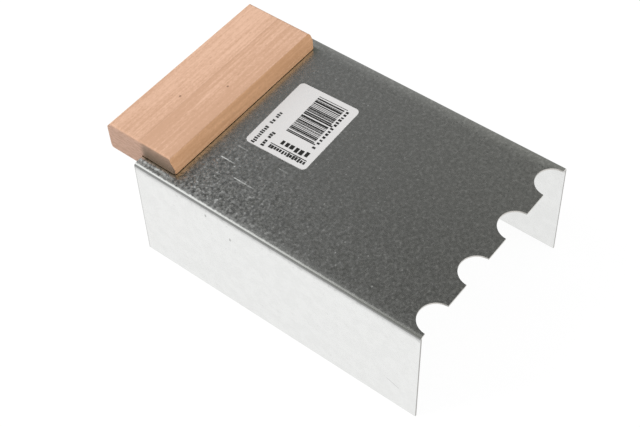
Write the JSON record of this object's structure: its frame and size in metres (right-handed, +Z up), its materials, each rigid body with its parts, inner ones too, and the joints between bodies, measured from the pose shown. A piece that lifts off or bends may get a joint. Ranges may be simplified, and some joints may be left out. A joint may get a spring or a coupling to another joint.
{
  "type": "notched adhesive scoop",
  "caption": "Folded galvanised sheet scoop with side walls and a half-round comb edge, held in a sawn wooden block handle.",
  "frame": {"origin": "on the ground, midway between the two folds and midway between the comb edge and the back of the block", "axes": "+Y from the comb edge to the handle, +Z up from the wall edges it stands on to the web, +X to the right seen along +Y"},
  "size_m": [0.1028, 0.16, 0.0609],
  "materials": {
    "galvanised_sheet": "galvanised, fine spangle",
    "beech": "planed and sanded, unvarnished",
    "nail_steel": "bright drawn",
    "label_paper": "semi-matt, printed in black"
  },
  "bodies": {
    "root": {"scoop_sheet": "galvanised_sheet", "handle_block": "beech", "nail_left": "nail_steel", "nail_middle": "nail_steel", "nail_right": "nail_steel", "paper_label": "label_paper"}
  },
  "joints": []
}
